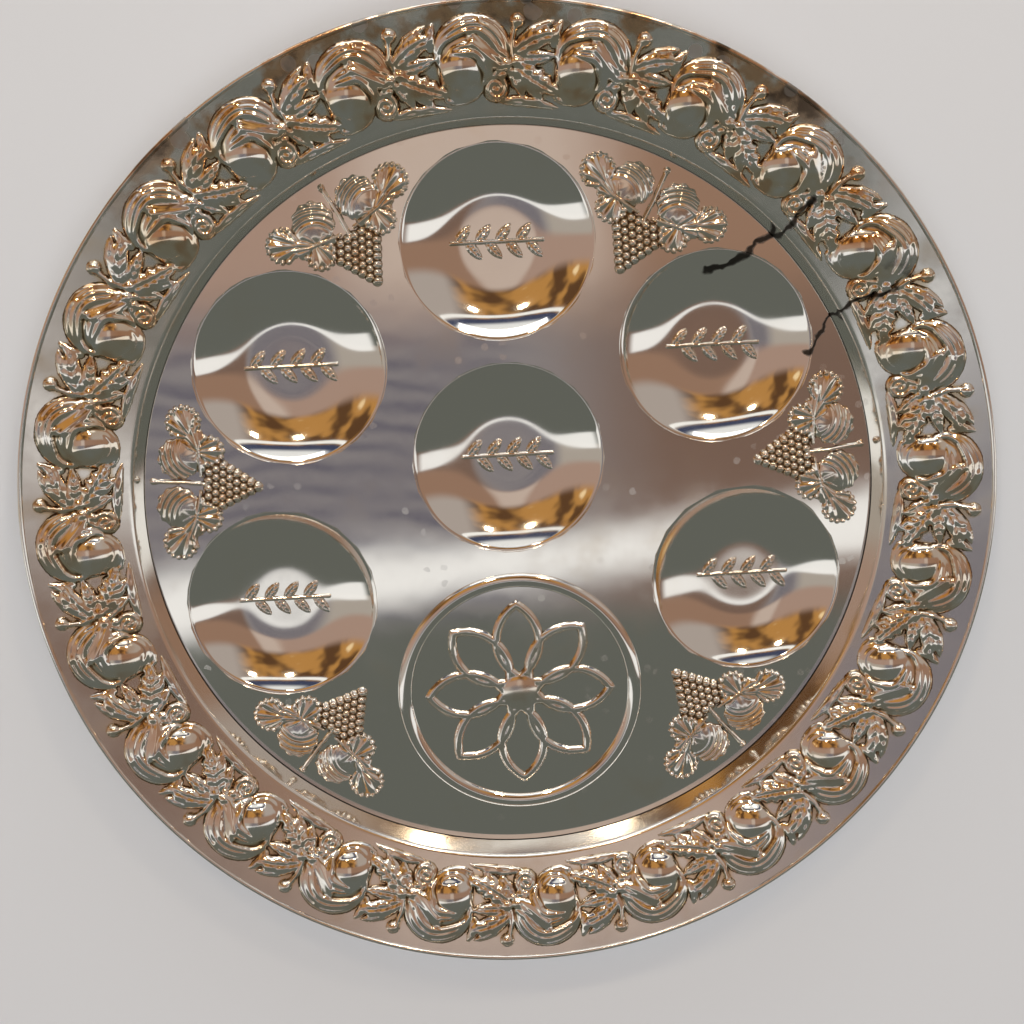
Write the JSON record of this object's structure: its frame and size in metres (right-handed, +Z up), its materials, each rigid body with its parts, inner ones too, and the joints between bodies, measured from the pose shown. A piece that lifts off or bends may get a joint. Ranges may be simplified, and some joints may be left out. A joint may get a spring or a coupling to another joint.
{
  "type": "seder plate",
  "caption": "Round silver-plated seder plate with hollow wells, a ringed medallion, vine sprays on the field and a flared border of blossoms and leaves inside a wire rim.",
  "frame": {"origin": "on the plate's axis, in the plane of the well floors that it stands on", "axes": "+Z up off the face of the plate, +Y towards the top well, +X to the right as the plate is read"},
  "size_m": [0.3599, 0.36, 0.03],
  "materials": {
    "silver_sheet": "polished silver plate on sheet metal, faint tarnish",
    "silver_relief": "polished cast silver plate with warm brown tarnish in the hollows",
    "silver_ornament": "polished silver plate, darker in the lines"
  },
  "bodies": {
    "root": {"field_plate": "silver_sheet", "border_band": "silver_sheet", "rim_wire": "silver_sheet", "well_top": "silver_sheet", "well_upper_left": "silver_sheet", "well_upper_right": "silver_sheet", "well_centre": "silver_sheet", "well_lower_left": "silver_sheet", "well_lower_right": "silver_sheet", "border_blossoms": "silver_relief", "border_leaves": "silver_relief", "medallion_ring": "silver_ornament", "medallion_ornament": "silver_ornament", "grape_spray_1": "silver_ornament", "grape_spray_2": "silver_ornament", "grape_spray_3": "silver_ornament", "grape_spray_4": "silver_ornament", "grape_spray_5": "silver_ornament", "grape_spray_6": "silver_ornament", "sprig_top": "silver_ornament", "sprig_upper_left": "silver_ornament", "sprig_upper_right": "silver_ornament", "sprig_centre": "silver_ornament", "sprig_lower_left": "silver_ornament", "sprig_lower_right": "silver_ornament"}
  },
  "joints": []
}
